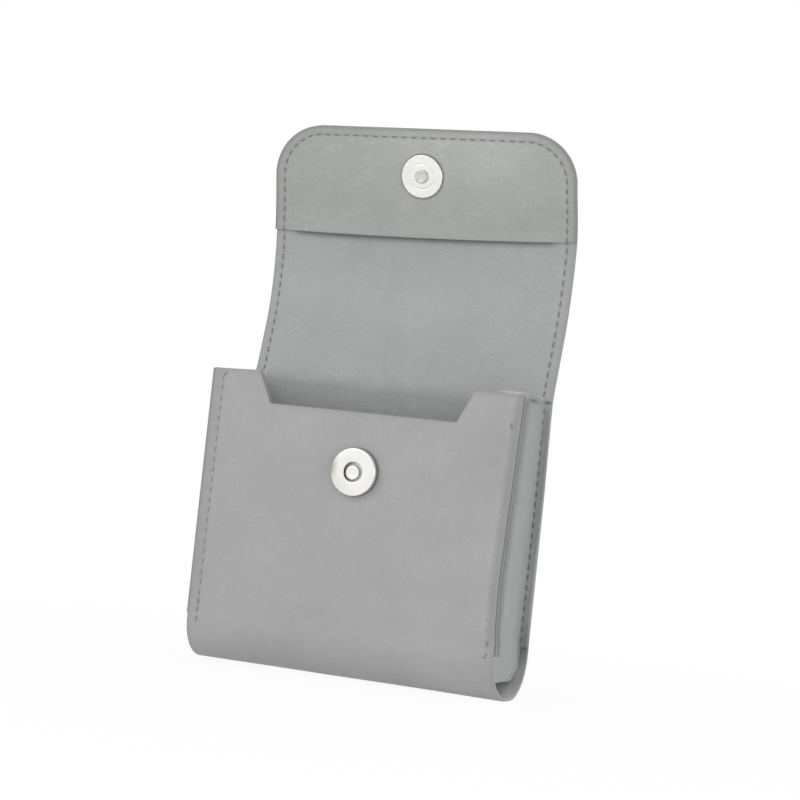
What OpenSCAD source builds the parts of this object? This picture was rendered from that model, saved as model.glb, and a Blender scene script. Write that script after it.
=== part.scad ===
/* [Pouch] */
// Width of the leather strip, and so of the whole case
case_w = 95.5; // [84:0.5:120]
// Depth of the pouch, from outer face to outer face
case_d = 30; // [28:0.5:36]
// Height of the pocket's top edge
pocket_h = 85.4; // [80:0.2:110]
// Outer radius of the leather's bend at the foot
foot_r = 12.5; // [10:0.5:13.5]

/* [Layers] */
// Thickness of the outer leather
leather_t = 1; // [0.8:0.1:1.2]
// Thickness of the stiffening board
board_t = 0.6; // [0.5:0.1:0.8]
// Thickness of the lining
lining_t = 0.5; // [0.3:0.1:0.6]
// Thickness of the facing behind the stud
facing_t = 0.5; // [0.3:0.1:0.8]
// Thickness of the gusset leather
gusset_t = 1; // [0.7:0.1:1.3]
// Distance from a panel's edge to the edge of its board
board_inset = 5; // [4:0.5:8]
// Height at which the linings and the gusset flanges end above the foot
lining_low = 13.5; // [13:0.5:20]

/* [Notch] */
// Width of the notch in the front panel, at its mouth
notch_top_w = 66.6; // [40:0.2:72]
// Width of the notch at its floor
notch_floor_w = 57.6; // [30:0.2:66]
// Depth of the notch
notch_depth = 9; // [5:0.5:14]
// Leather left between the notch and the front board
notch_rim = 3; // [2:0.5:6]

/* [Gussets] */
// Distance from the case's edge to the outer face of a gusset's web
web_inset = 2.5; // [2:0.1:4]
// How far a gusset flange stands out past the panel's edge
flange_proud = 0.35; // [0:0.05:0.6]
// Height of the web's lower edge
web_low = 5.8; // [4:0.2:10]
// Radius of the web's lower corners
web_corner_r = 9; // [7:0.5:11]
// How far the gusset's top edge lies below the pocket's top edge
gusset_drop = 0.8; // [0.2:0.1:3]

/* [Flap] */
// Lean of the flap's root towards the back, in degrees
flap_lean = 13.3; // [8:0.1:18]
// Lean of the flap's free end towards the front, in degrees
tip_slant = 15; // [8:0.5:20]
// Radius of the flap's bow
bow_r = 80; // [60:1:90]
// Radius of the flap's free corners
corner_r = 14; // [8:0.5:16]
// Leather left beyond the stud's centre
tip_beyond = 14; // [13:0.5:20]
// Flat stretch of flap below the stud's centre
stud_flat = 8; // [7:0.5:10]
// Length of the strip that bends behind the pocket
rear_fold_len = 8; // [8:0.2:10]
// Length of the strip that bends in front of the pocket
front_fold_len = 4; // [3:0.2:6]
// How much lower the front fold lies than the rear fold when closed
closed_drop = 1.2; // [0:0.1:1.6]
// Height of the facing's free edge below the stud's centre, along the flap
facing_below = 18.2; // [12:0.2:22]

/* [Stitches] */
// Length from one stitch to the next
stitch_pitch = 3; // [2.5:0.1:4]
// Length of one stitch
stitch_len = 2.2; // [1.5:0.1:2.4]
// Width of the thread
stitch_w = 0.5; // [0.3:0.05:0.7]
// How far a stitch stands out of the leather
stitch_t = 0.25; // [0.15:0.05:0.4]
// Distance from the pouch's edge to its seams
seam_inset = 2; // [1.5:0.1:2.4]
// Distance from the flap's edge to its seam
flap_inset = 2.6; // [2:0.1:3.5]
// Distance from the pocket's top edge to the first stitch
seam_top = 2.6; // [2:0.2:6]

/* [Magnetic snap] */
// Height of the snap's centre above the foot
snap_z = 59.4; // [50:0.2:62]
// Diameter of the socket
socket_d = 14; // [12:0.2:18]
// Height of the socket above the leather
socket_h = 2.2; // [2:0.1:2.6]
// Wall of the socket's cover
socket_wall = 0.3; // [0.2:0.05:0.4]
// Diameter of the hole that takes the stud
socket_hole_d = 5.8; // [5.6:0.1:6.4]
// Diameter of the steel core at the bottom of the hole
core_d = 3.9; // [3:0.1:4.2]
// Thickness of the ring magnet
magnet_t = 1.2; // [1:0.1:1.3]
// Diameter of the stud's plate
stud_plate_d = 13.2; // [12:0.2:16]
// Thickness of the stud's plate
stud_plate_t = 0.7; // [0.6:0.1:1]
// Diameter of the stud
stud_d = 4.7; // [4:0.1:4.9]
// Height of the stud above its plate
stud_h = 0.9; // [0.6:0.1:1]
// Thickness of the prong bracket's sheet
prong_t = 0.3; // [0.2:0.05:0.3]
// Width of a prong
prong_w = 3.6; // [2.5:0.1:4.5]
// Distance between the two prongs
prong_span = 7; // [6:0.2:8]
// Length of a prong's bent end
prong_bend = 3; // [2:0.2:3.4]
// Diameter of the washers that the prongs hold
washer_d = 11; // [10:0.2:12]
// Play left between two pieces that fit together
play = 0.15; // [0.1:0.05:0.25]

/* [Hidden] */

leather_colour = "#a6a8a6";
gusset_colour = "#9aa3a1";
lining_colour = "#a4a8a6";
board_colour = "#c9b48c";
thread_colour = "#7f8886";
nickel_colour = "#f0efea";
steel_colour = "#c8c8c8";
magnet_colour = "#5a5a5c";

round_fn = 96;
// Steps along the flap's bow, and a length that reaches past every layer
bow_step = 2;
far = 200;
// How far a cut reaches past the piece it cuts
beyond = 1;
// Clearance that keeps a stitch off a bowed face
stitch_lift = 0.03;

panel_t = leather_t + board_t + lining_t;
half_t = panel_t / 2;
half_w = case_w / 2;
half_d = case_d / 2;
web_x = half_w - web_inset;
gusset_top = pocket_h - gusset_drop;
inner_d = case_d - 2 * panel_t;
// The bent prongs and their washer share the board's thickness
washer_t = board_t - prong_t;

// The flap's middle layer starts above the back panel's own middle layer
root_y = half_d - half_t;
rear_axis_s = rear_fold_len / 2;
rear_axis_y = root_y + rear_axis_s * sin(flap_lean);
rear_axis_z = pocket_h + rear_axis_s * cos(flap_lean);

// With the snap shut the stud's plate lies on the socket, and the layers behind it set where
// the flap's middle layer then is. The bow carries it from there up to the front fold.
shut_y = -half_d - socket_h - play - stud_plate_t - facing_t - half_t;
shut_turn = asin((rear_axis_z - closed_drop - snap_z - stud_flat) / bow_r);
shut_fold_y = shut_y + bow_r * (1 - cos(shut_turn));
front_axis_s = rear_axis_s + norm([rear_axis_y - shut_fold_y, closed_drop]);
stud_s = front_axis_s + stud_flat + bow_r * shut_turn * PI / 180;
flap_len = stud_s + tip_beyond;

rear_fold_end = rear_fold_len;
front_fold_start = front_axis_s - front_fold_len / 2;
front_fold_end = front_axis_s + front_fold_len / 2;
facing_s = stud_s - facing_below;

// Where the bow starts and ends along the flap
bow_end = stud_s - stud_flat;
bow_start = bow_end - bow_r * (flap_lean + tip_slant) * PI / 180;

// Lean of the flap at a length s along it, positive towards the back
function lean_at(s) =
    s < bow_start ? flap_lean :
    s < bow_end ? flap_lean - (s - bow_start) / bow_r * 180 / PI :
    -tip_slant;

// Point of the flap's middle layer at a length s along it
function middle_at(s) =
    s < bow_start ? [root_y, pocket_h] + s * [sin(flap_lean), cos(flap_lean)] :
    s < bow_end ? middle_at(bow_start - 0.001)
        + bow_r * [cos(lean_at(s)) - cos(flap_lean), sin(flap_lean) - sin(lean_at(s))] :
    middle_at(bow_end - 0.001) + (s - bow_end) * [-sin(tip_slant), cos(tip_slant)];

// Point at a distance off the middle layer, mitred level where the flap meets the back panel
function off_middle(s, off) =
    middle_at(s) + off * (s == 0 ? [1, 0] : [cos(lean_at(s)), -sin(lean_at(s))]);

// Lengths from s0 to s1 at which every layer turns. They are counted from the facing's edge, so
// that layers which start at different lengths still lie face on face.
function bow_points(s0, s1) =
    let (first = ceil((s0 - facing_s) / bow_step), last = floor((s1 - facing_s) / bow_step))
        concat([s0],
            [for (i = [first : last]) let (s = facing_s + i * bow_step)
                if (s > s0 + bow_step / 8 && s < s1 - bow_step / 8) s],
            [s1]);

function reversed(list) = [for (i = [len(list) - 1 : -1 : 0]) list[i]];

// Sweeps a side profile, drawn as depth and height, across the case's width
module across(w) {
    translate([-w / 2, 0, 0])
        rotate([90, 0, 90])
            linear_extrude(w)
                children();
}

// One layer of the flap, between two lengths along it and two distances off its middle
module flap_layer(s0, s1, off0, off1, w) {
    stops = bow_points(s0, s1);
    across(w)
        polygon(concat(
            [for (s = stops) off_middle(s, off0)],
            [for (s = reversed(stops)) off_middle(s, off1)]));
}

// Places a piece on the flap's middle layer, with +Z along the flap and +Y to its outer face
module on_flap(s) {
    p = middle_at(s);
    translate([0, p[0], p[1]])
        rotate([-lean_at(s), 0, 0])
            children();
}

// The flap's outline with its two round corners, drawn inwards from its edge
module flap_outline(inset) {
    r = corner_r - inset;
    w = case_w - 2 * inset;
    on_flap(flap_len)
        rotate([90, 0, 0])
            linear_extrude(far, center = true)
                translate([0, -inset]) {
                    translate([-w / 2, -far])
                        square([w, far - r]);
                    translate([-w / 2 + r, -far])
                        square([w - 2 * r, far]);
                    for (side = [-1, 1])
                        translate([side * (w / 2 - r), -r])
                            circle(r, $fn = round_fn);
                }
}

// Side profile of the leather from the front's top edge, round the foot, to the back's
module strip_profile(inset) {
    r = foot_r - inset;
    y = half_d - inset;
    translate([-y, foot_r])
        square([2 * y, pocket_h - foot_r + inset]);
    translate([foot_r - half_d, inset])
        square([case_d - 2 * foot_r, foot_r]);
    for (side = [-1, 1])
        translate([side * (half_d - foot_r), foot_r])
            circle(r, $fn = round_fn);
}

// The notch in the front panel, grown by a rim where a layer stops short of it
module notch(rim) {
    slope = atan((notch_top_w - notch_floor_w) / 2 / notch_depth);
    floor_x = notch_floor_w / 2 + rim * (1 - sin(slope)) / cos(slope);
    top = pocket_h + rim + beyond;
    rise = notch_depth + 2 * rim + beyond;
    top_x = floor_x + rise * tan(slope);
    floor_z = top - rise;
    translate([0, -half_d - beyond, 0])
        rotate([-90, 0, 0])
            linear_extrude(half_d)
                polygon([[-top_x, -top], [top_x, -top], [floor_x, -floor_z], [-floor_x, -floor_z]]);
}

// A flat layer of a panel, from its outer face inwards
module panel_layer(y, t, low, high, inset) {
    translate([-half_w + inset, y, low])
        cube([case_w - 2 * inset, t, high - low]);
}

// Slots for a bracket's two prongs, through the layers from y0 to y1
module prong_slots(y0, y1) {
    for (side = [-1, 1])
        translate([side * prong_span / 2, (y0 + y1) / 2, 0])
            cube([prong_t + 2 * play, y1 - y0, prong_w + 2 * play], center = true);
}

// Places a piece at the socket, with +Y into the pouch and y = 0 on the front leather
module at_socket() {
    translate([0, -half_d, snap_z])
        children();
}

// Places a piece at the stud, with +Y outwards and y = 0 on the facing
module at_stud() {
    on_flap(stud_s)
        translate([0, -half_t - facing_t, 0])
            children();
}

module disc(d, y0, y1) {
    translate([0, y0, 0])
        rotate([-90, 0, 0])
            cylinder(d = d, h = y1 - y0, $fn = round_fn);
}

module outer_leather() {
    color(leather_colour)
        difference() {
            across(case_w)
                difference() {
                    strip_profile(0);
                    strip_profile(leather_t);
                    translate([-half_d, pocket_h])
                        square([case_d, leather_t + beyond]);
                }
            notch(0);
            at_socket()
                prong_slots(-beyond, leather_t + beyond);
        }
}

module front_board() {
    y = -half_d + leather_t;
    color(board_colour)
        difference() {
            panel_layer(y, board_t, lining_low, pocket_h - notch_rim, board_inset);
            notch(notch_rim);
            at_socket()
                disc(washer_d + 4 * play, 0, panel_t);
        }
}

module back_board() {
    y = half_d - leather_t - board_t;
    color(board_colour)
        panel_layer(y, board_t, lining_low, pocket_h - notch_rim, board_inset);
}

module front_lining() {
    y = -half_d + leather_t + board_t;
    color(lining_colour)
        difference() {
            panel_layer(y, lining_t, lining_low, pocket_h, 0);
            notch(0);
        }
}

module back_lining() {
    y = half_d - panel_t;
    color(lining_colour)
        panel_layer(y, lining_t, lining_low, pocket_h, 0);
}

// A web across the pouch's side, with a flange turned outwards along each panel
module gusset(side) {
    flange_w = web_inset + flange_proud;
    web_y = inner_d / 2;
    color(gusset_colour)
        union() {
            translate([side * (web_x - gusset_t / 2), 0, 0])
                across(gusset_t) {
                    translate([-web_y, web_low + web_corner_r])
                        square([inner_d, gusset_top - web_low - web_corner_r]);
                    translate([-web_y + web_corner_r, web_low])
                        square([inner_d - 2 * web_corner_r, web_corner_r]);
                    for (edge = [-1, 1])
                        translate([edge * (web_y - web_corner_r), web_low + web_corner_r])
                            circle(web_corner_r, $fn = round_fn);
                }
            for (edge = [-1, 1])
                translate([side * (web_x - gusset_t / 2 + flange_w / 2), edge * (web_y - gusset_t / 2),
                    (lining_low + gusset_top) / 2])
                    cube([flange_w + gusset_t, gusset_t, gusset_top - lining_low], center = true);
        }
}

module left_gusset() { gusset(-1); }

module right_gusset() { gusset(1); }

module stitch() {
    cube([stitch_w, stitch_t, stitch_len], center = true);
}

// One seam through a panel and its gusset flange, seen on both of their faces
module pouch_seam(side, face) {
    x = side * (half_w - seam_inset);
    outer_y = face * (half_d + stitch_t / 2);
    flange_y = face * (inner_d / 2 - gusset_t - stitch_t / 2);
    first = pocket_h - seam_top - stitch_len / 2;
    last = lining_low + stitch_len / 2;
    color(thread_colour)
        for (z = [first : -stitch_pitch : last], y = [outer_y, flange_y])
            translate([x, y, z])
                stitch();
}

module front_left_stitches() { pouch_seam(-1, -1); }

module front_right_stitches() { pouch_seam(1, -1); }

module back_left_stitches() { pouch_seam(-1, 1); }

module back_right_stitches() { pouch_seam(1, 1); }

// A stitch on the flap's outer face and one on its inner face, at a length s along it
module stitch_pair(s, depth) {
    lift = stitch_t / 2 + stitch_lift;
    on_flap(s)
        for (y = [half_t + lift, -depth - lift])
            translate([0, y, 0])
                children();
}

// The straight seam along one side of the flap
module side_seam(s0, s1, depth) {
    count = floor((s1 - s0 - stitch_len) / stitch_pitch);
    for (i = [0 : count], side = [-1, 1])
        stitch_pair(s0 + stitch_len / 2 + i * stitch_pitch, depth)
            translate([side * (half_w - flap_inset), 0, 0])
                stitch();
}

module rear_fold_leather() {
    color(leather_colour)
        flap_layer(0, rear_fold_end, half_t - leather_t, half_t, case_w);
}

module rear_fold_lining() {
    color(lining_colour)
        flap_layer(0, rear_fold_end, -half_t, -half_t + lining_t, case_w);
}

module bridge_leather() {
    color(leather_colour)
        flap_layer(rear_fold_end, front_fold_start, half_t - leather_t, half_t, case_w);
}

module bridge_board() {
    color(board_colour)
        flap_layer(rear_fold_end, front_fold_start, -half_t + lining_t, half_t - leather_t,
            case_w - 2 * board_inset);
}

module bridge_lining() {
    color(lining_colour)
        flap_layer(rear_fold_end, front_fold_start, -half_t, -half_t + lining_t, case_w);
}

module bridge_stitches() {
    color(thread_colour)
        side_seam(rear_fold_end, front_fold_start, half_t);
}

module front_fold_leather() {
    color(leather_colour)
        flap_layer(front_fold_start, front_fold_end, half_t - leather_t, half_t, case_w);
}

module front_fold_lining() {
    color(lining_colour)
        flap_layer(front_fold_start, front_fold_end, -half_t, -half_t + lining_t, case_w);
}

module flap_leather() {
    color(leather_colour)
        intersection() {
            flap_layer(front_fold_end, flap_len, half_t - leather_t, half_t, case_w);
            flap_outline(0);
        }
}

module flap_board() {
    color(board_colour)
        difference() {
            intersection() {
                flap_layer(front_fold_end, flap_len, -half_t + lining_t, half_t - leather_t, case_w);
                flap_outline(board_inset);
            }
            at_stud()
                disc(washer_d + 4 * play, 0, panel_t);
        }
}

module flap_lining() {
    color(lining_colour)
        difference() {
            intersection() {
                flap_layer(front_fold_end, flap_len, -half_t, -half_t + lining_t, case_w);
                flap_outline(0);
            }
            at_stud()
                prong_slots(-beyond, panel_t);
        }
}

module flap_facing() {
    color(leather_colour)
        difference() {
            intersection() {
                flap_layer(facing_s, flap_len, -half_t - facing_t, -half_t, case_w);
                flap_outline(0);
            }
            at_stud()
                prong_slots(-beyond, panel_t);
        }
}

module flap_stitches() {
    r = corner_r - flap_inset;
    turns = floor(90 / (stitch_pitch / r * 180 / PI));
    turn = 90 / (turns + 1);
    straight = case_w - 2 * corner_r;
    count = floor(straight / stitch_pitch);
    corner_s = flap_len - corner_r;
    color(thread_colour) {
        side_seam(front_fold_end, facing_s, half_t);
        side_seam(facing_s, corner_s, half_t + facing_t);
        for (side = [-1, 1], i = [0 : turns])
            stitch_pair(corner_s, half_t + facing_t)
                translate([side * (half_w - corner_r), 0, 0])
                    rotate([0, -side * (i + 0.5) * turn, 0])
                        translate([side * r, 0, 0])
                            stitch();
        for (i = [0 : count - 1])
            stitch_pair(flap_len - flap_inset, half_t + facing_t)
                translate([(i + 0.5 - count / 2) * straight / count, 0, 0])
                    rotate([0, 90, 0])
                        stitch();
    }
}

// A cup of plated sheet over the magnet, open towards the leather
module socket_cover() {
    color(nickel_colour)
        at_socket()
            difference() {
                disc(socket_d, -socket_h, 0);
                disc(socket_d - 2 * socket_wall, -socket_h + socket_wall, beyond);
                disc(socket_hole_d, -socket_h - beyond, 0);
            }
}

module socket_magnet() {
    color(magnet_colour)
        at_socket()
            difference() {
                disc(socket_d - 2 * socket_wall - 2 * play, -socket_h + socket_wall,
                    -socket_h + socket_wall + magnet_t);
                disc(socket_hole_d, -socket_h, 0);
            }
}

// The steel core stands on the bracket and ends short of the stud
module socket_core() {
    color(steel_colour)
        at_socket()
            disc(core_d, -socket_h + stud_h + 2 * play, -prong_t);
}

// A flat foot on one face of the layers, two prongs through them and their bent ends.
// The foot is on the side of negative y, and depth is the y where the bent ends start.
module prong_bracket(foot_d, depth) {
    disc(foot_d, -prong_t, 0);
    for (side = [-1, 1])
        translate([side * prong_span / 2, 0, 0]) {
            translate([-prong_t / 2, -prong_t, -prong_w / 2])
                cube([prong_t, depth + 2 * prong_t, prong_w]);
            translate([side > 0 ? -prong_bend : 0, depth, -prong_w / 2])
                cube([prong_bend, prong_t, prong_w]);
        }
}

module socket_bracket() {
    color(steel_colour)
        at_socket()
            prong_bracket(socket_d - 2 * socket_wall - 2 * play, leather_t + washer_t);
}

// A washer that the prongs pass through, in the board's cut-out
module washer(y) {
    color(steel_colour)
        difference() {
            disc(washer_d, y, y + washer_t);
            disc(core_d, y - beyond, y + beyond);
            prong_slots(y - beyond, y + beyond);
        }
}

module socket_washer() {
    at_socket()
        washer(leather_t);
}

module stud_plate() {
    foot_d = norm([prong_span + prong_t, prong_w]) + 2 * play;
    color(nickel_colour)
        at_stud()
            difference() {
                disc(stud_plate_d, -stud_plate_t, 0);
                disc(foot_d, -prong_t, beyond);
                disc(core_d - 2 * socket_wall, -stud_plate_t - beyond, beyond);
            }
}

module stud_post() {
    color(nickel_colour)
        at_stud() {
            disc(stud_d, -stud_plate_t - stud_h, -stud_plate_t);
            disc(core_d - 2 * socket_wall, -stud_plate_t, -prong_t);
        }
}

module stud_bracket() {
    color(steel_colour)
        at_stud()
            prong_bracket(prong_span + prong_t, facing_t + lining_t + washer_t);
}

module stud_washer() {
    at_stud()
        washer(facing_t + lining_t);
}

outer_leather();
front_board();
back_board();
front_lining();
back_lining();
left_gusset();
right_gusset();
front_left_stitches();
front_right_stitches();
back_left_stitches();
back_right_stitches();
rear_fold_leather();
rear_fold_lining();
bridge_leather();
bridge_board();
bridge_lining();
bridge_stitches();
front_fold_leather();
front_fold_lining();
flap_leather();
flap_board();
flap_lining();
flap_facing();
flap_stitches();
socket_cover();
socket_magnet();
socket_core();
socket_bracket();
socket_washer();
stud_plate();
stud_post();
stud_bracket();
stud_washer();
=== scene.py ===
from math import atan2, cos, degrees, pi, radians, sin

import bmesh
import bpy
import numpy as np
from mathutils import Matrix, Vector


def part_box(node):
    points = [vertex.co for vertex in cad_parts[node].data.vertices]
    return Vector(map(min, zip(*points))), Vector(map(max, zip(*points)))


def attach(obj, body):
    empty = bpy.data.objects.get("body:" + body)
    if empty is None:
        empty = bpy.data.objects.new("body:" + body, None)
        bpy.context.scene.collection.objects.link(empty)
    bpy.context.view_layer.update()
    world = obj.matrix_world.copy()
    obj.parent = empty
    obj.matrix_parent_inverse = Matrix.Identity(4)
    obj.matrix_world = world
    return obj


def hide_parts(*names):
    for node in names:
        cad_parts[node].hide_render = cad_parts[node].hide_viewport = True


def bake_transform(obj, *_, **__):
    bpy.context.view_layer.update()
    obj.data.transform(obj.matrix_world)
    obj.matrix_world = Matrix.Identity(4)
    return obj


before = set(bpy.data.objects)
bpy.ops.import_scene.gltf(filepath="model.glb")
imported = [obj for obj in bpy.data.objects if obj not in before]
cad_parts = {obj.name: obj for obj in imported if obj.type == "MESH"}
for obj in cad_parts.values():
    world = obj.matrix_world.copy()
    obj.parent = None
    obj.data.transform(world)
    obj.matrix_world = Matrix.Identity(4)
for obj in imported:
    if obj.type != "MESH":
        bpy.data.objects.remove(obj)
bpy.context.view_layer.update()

# Sizes are millimetres, and a mesh is turned into metres when it is made
MM = 0.001
SIDES = {"left": -1, "right": 1}

# The case's own sizes, read from the frame
leather_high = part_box("outer_leather")[1]
HALF_W = leather_high.x / MM
HALF_D = leather_high.y / MM
POCKET_H = leather_high.z / MM
LINING_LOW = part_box("front_lining")[0].z / MM
GUSSET_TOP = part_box("right_gusset")[1].z / MM
# The front lining and flanges end lower here than the solids do, and the back ones higher
FRONT_LOW = LINING_LOW - 0.6
BACK_LOW = LINING_LOW + 1.2

# Layers, from the outer face inwards
LEATHER_T = 1.0
BOARD_T = 0.6
LINING_T = 0.5
FACING_T = 0.5
GUSSET_T = 1.0
HALF_T = (LEATHER_T + BOARD_T + LINING_T) / 2
BOARD_MID = HALF_T - LEATHER_T - BOARD_T / 2
FLANGE_FACE = -HALF_T - GUSSET_T
# Faces of different pieces are kept this far apart
GAP = 0.02
BOARD_HALF = BOARD_T / 2 - GAP
GUSSET_HALF = GUSSET_T / 2 - GAP
# The thin edge without a board in it: its width, how far its faces sink and its inside is filled
BOARD_INSET = 5.0
THIN_W = 2.6
EDGE_SUNK = 0.2
FACING_SUNK = 0.12
EDGE_FILL = 0.27
# How far the darker rim reaches in from an edge
RIM_REACH = 0.7
# The sheets' rounded edges, and the side and slope of each ring of points round them
EDGE_R = 0.32
THIN_R = 0.2
BOARD_EDGE_R = 0.1
EDGE_RINGS = [(1, 60), (1, 30), (1, 0), (-1, 0), (-1, -30), (-1, -60)]

# The foot and the notch
FOOT_R = 12.5
NOTCH_TOP_W = 66.6
NOTCH_FLOOR_W = 57.6
NOTCH_DEPTH = 9.0
NOTCH_RIM = 3.0
BELOW_NOTCH = 14.0

# The flap, as lengths from the pocket's top edge along its middle layer
FLAP_LEAN = 13.3
TIP_SLANT = 15.0
BOW_R = 80.0
STUD_AT = 64.70
STUD_FLAT = 8.0
FLAP_END = STUD_AT + 14.0
BOW_END = STUD_AT - STUD_FLAT
BOW_START = BOW_END - BOW_R * radians(FLAP_LEAN + TIP_SLANT)
FACING_AT = STUD_AT - 18.2
REAR_FOLD_END = 8.0
FRONT_FOLD = (33.77, 37.77)
BRIDGE_SPLIT = 14.0
CORNER_R = 15.2
ROOT_ROUND = 1.5

# The facing stands past the flap's sides, and its free edge lifts and hangs down
FACING_PROUD = 0.3
FACING_LIFT = 0.95
LIFT_SIDES = 14
LIFT_REACH = 4
EDGE_HANG = 0.75
HANG_REACH = 6

# The gusset, whose front flange stands past the leather's edge
WEB_X = 44.75
WEB_SPLAY = 0.5
WEB_BOW = 0.5
WEB_WAVE = 0.35
GUSSET_BEND_R = 0.9
WEB_FOOT = 4.9
# The radii along the web of its lower corners, and their height
FRONT_CORNER_R = 6.0
BACK_CORNER_R = 5.0
WEB_CORNER_H = 4.4
FRONT_PROUD = {"left": 0.87, "right": 1.3}
BACK_PROUD = 0.7
# How far the front flange stands up past the web
FLANGE_RISE = {"left": 0.7, "right": 0.0}
# How far the gusset is tucked in behind the leather, near the foot and near the top
FOOT_TUCK = 0.15
FRONT_TUCK = {"left": 0.0, "right": 0.5}
TOP_TUCK = 0.4
TUCK_BELOW = 34
TUCK_ABOVE = 62
TUCK_FADE = 20

# The front lining is cut wide at its right side, and stands up at its right corner
LINING_PROUD = 0.5
LINING_RISE = 0.9

# The seams
PITCH = 3.0
STITCH_LEN = 2.1
FRONT_INSET = {"left": 3.0, "right": 2.2}
BACK_INSET = 1.6
FLAP_INSET = 2.6
SEAM_TOP = 1.8
SEAM_FADE = 1.5
GROOVE_DEPTH = 0.14
GROOVE_W = 0.5
# How much of the painted shade outside the right seam the leather outside the left seam gets
LEFT_BAND = 0.45
# How deep the front's stitches lie in the leather
FRONT_SUNK = {"left": 0.07, "right": 0.2}
# Stray stitches of the front seams, as insets, heights and turns
STRAY = {
    "left": [(3.0, 16.9, 0.02), (3.0, 14.3, 0.1), (3.1, 11.9, -0.15), (3.65, 83.8, -0.68)],
    "right": [(2.0, 16.0, -0.3), (2.3, 12.9, -0.4), (2.3, 76.8, 0.25)],
}
# The thread, and the turn of its plies over half a stitch
THREAD_R = 0.17
THREAD_SIDES = 10
THREAD_RINGS = 11
THREAD_PLIES = 3
THREAD_LAY = 5

# The snap
SNAP_Z = 59.4
SOCKET_D = 13.7
SOCKET_ASIDE = 0.6
SOCKET_H = 2.2
SOCKET_HOLE_D = 5.8
COVER_FLOOR = 0.35
COVER_SKIRT = -0.55
COVER_LIP = 0.65
CORE_D = 4.3
CORE_ASIDE = -0.5
CORE_DOWN = 0.2
PLATE_D = 12.9
PLATE_T = 0.7
PLATE_RING_R = 3.75
STUD_D = 4.0
STUD_H = 0.9
LATHE_SIDES = 96
FILLET_STEPS = 6

# The front's right side leans in at the top and swells out lower down. Each pair is a height and how far
# back the edge lies there.
TWIST = [
    (0, 3.2), (5.7, 1.9), (13.7, 0.7), (22, -1.1), (31, -1.9), (47, -0.7), (59, 0.7), (72, 2.0), (85.6, 3.1),
]

# How the strip's cut differs from a straight one. Each row is a length from the flap's fold, how far
# the left and right edges lie to the right there, and how far up they do.
CUT = [
    (-190, 0.6, -0.5, 0, 0), (-117, 0.5, -0.5, 0, 0), (-108, 0.35, -0.4, 0, 0), (-99, 0.3, -0.15, 0, 0),
    (-80, 0.6, 0.45, 0, 0), (-28, 0.6, 0.3, 0, 0), (-6, 0.6, -0.1, 0, 0), (4, 0.75, -0.2, 0, 0),
    (18, 0.75, -0.1, -0.2, 0.3), (34, 0.35, 0.1, -0.6, 0.9), (46.5, 0.1, 0.45, -0.87, 1.45),
    (54, 0.05, 0.25, -0.87, 1.3), (62, 0.1, -0.1, -0.87, 1.0), (79, 0.25, -0.1, -0.87, 0.8),
]
# Half of the width in the middle that keeps its cut
CUT_MIDDLE = 12
TOP_LIFT = 0.55
# How far the foot hangs down, how much more for each millimetre to the right, and up to which height
FOOT_DROP = 0.1
FOOT_SLOPE = 0.009
FOOT_HANGS = 22

# Lengths along the strip, from the front's top edge round the foot and up to the flap's tip
LINE_START = -5
PANEL_LEN = POCKET_H - FOOT_R
BEND_LEN = (FOOT_R - HALF_T) * pi / 2
FOOT_FLAT = 2 * (HALF_D - FOOT_R)
FOOT_FROM = PANEL_LEN + BEND_LEN
BACK_FROM = FOOT_FROM + FOOT_FLAT + BEND_LEN
ROOT = BACK_FROM + PANEL_LEN
TIP = ROOT + FLAP_END
FACING_EDGE = ROOT + FACING_AT
SPLIT = ROOT + BRIDGE_SPLIT
# The middle of the flap's rounded corners
CORNER_X = HALF_W - CORNER_R
CORNER_T = TIP - CORNER_R
# Where the seams, linings and flanges end above the foot
FRONT_END = POCKET_H - LINING_LOW
BACK_START = ROOT - POCKET_H + LINING_LOW
LINING_START = ROOT - POCKET_H + BACK_LOW
FLANGE_TOP = ROOT - POCKET_H + GUSSET_TOP

# The rows of points along the strip, and the finer ones over a crease
ROW_STEP = PITCH / 4
FINE_STEP = 0.15

# How dark the painted shadow on the lining just below the facing's free edge is, and how far it reaches
UNDER_SHADE = 0.42
UNDER_REACH = 1.9
# How dark the painted shade is on the leather outside a seam and in a seam's groove,
# and the painted contact shadow round the snap
BAND_SHADE = 0.825
SEAM_SHADE = 0.78
SNAP_SHADE = 0.42
# The place off the middle layer of the leather's inner face, and the reach of marks on it alone
FOOT_INSIDE = (-0.6, 1.3)

# The floor's half width and height, how white the camera sees it and how much light it gives
FLOOR_SIZE = 6000
FLOOR_Z = -0.6
FLOOR_WHITE = 0.93
FLOOR_GLOW = 0.2
# The world's light, and how dim its reflection gets low on the right
WORLD_FILL = 0.78
WORLD_DIM = 0.4
BRIGHT_SIDE = (-0.62, -0.25, 0.74)
WHITE = (1, 1, 1, 1)

# The lamps, each with its place and size in metres and its power, and where they look
LAMPS = {"key": ((-0.55, -0.9, 0.75), 0.7, 2.4), "fill": ((1.05, -0.25, 0.2), 0.4, 2.2)}
LAMP_AIM = (0, 0, 0.08)

# The camera's place in metres, its angles in radians and its lens
CAMERA_PLACE = (0.259157, -0.648548, 0.066315)
CAMERA_YAW = 0.372278
CAMERA_PITCH = -0.021797
CAMERA_ROLL = 0.108256
CAMERA_LENS = 108.0
SENSOR_W = 36.0


# Lines and shapes in the flat

def ease(t):
    """A smooth step from 0 to 1."""
    t = np.clip(t, 0, 1)
    return t * t * (3 - 2 * t)


def fading(distance, reach):
    """1 up to no distance, and ever less beyond."""
    return np.exp(-np.maximum(distance, 0) / reach)


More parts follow.
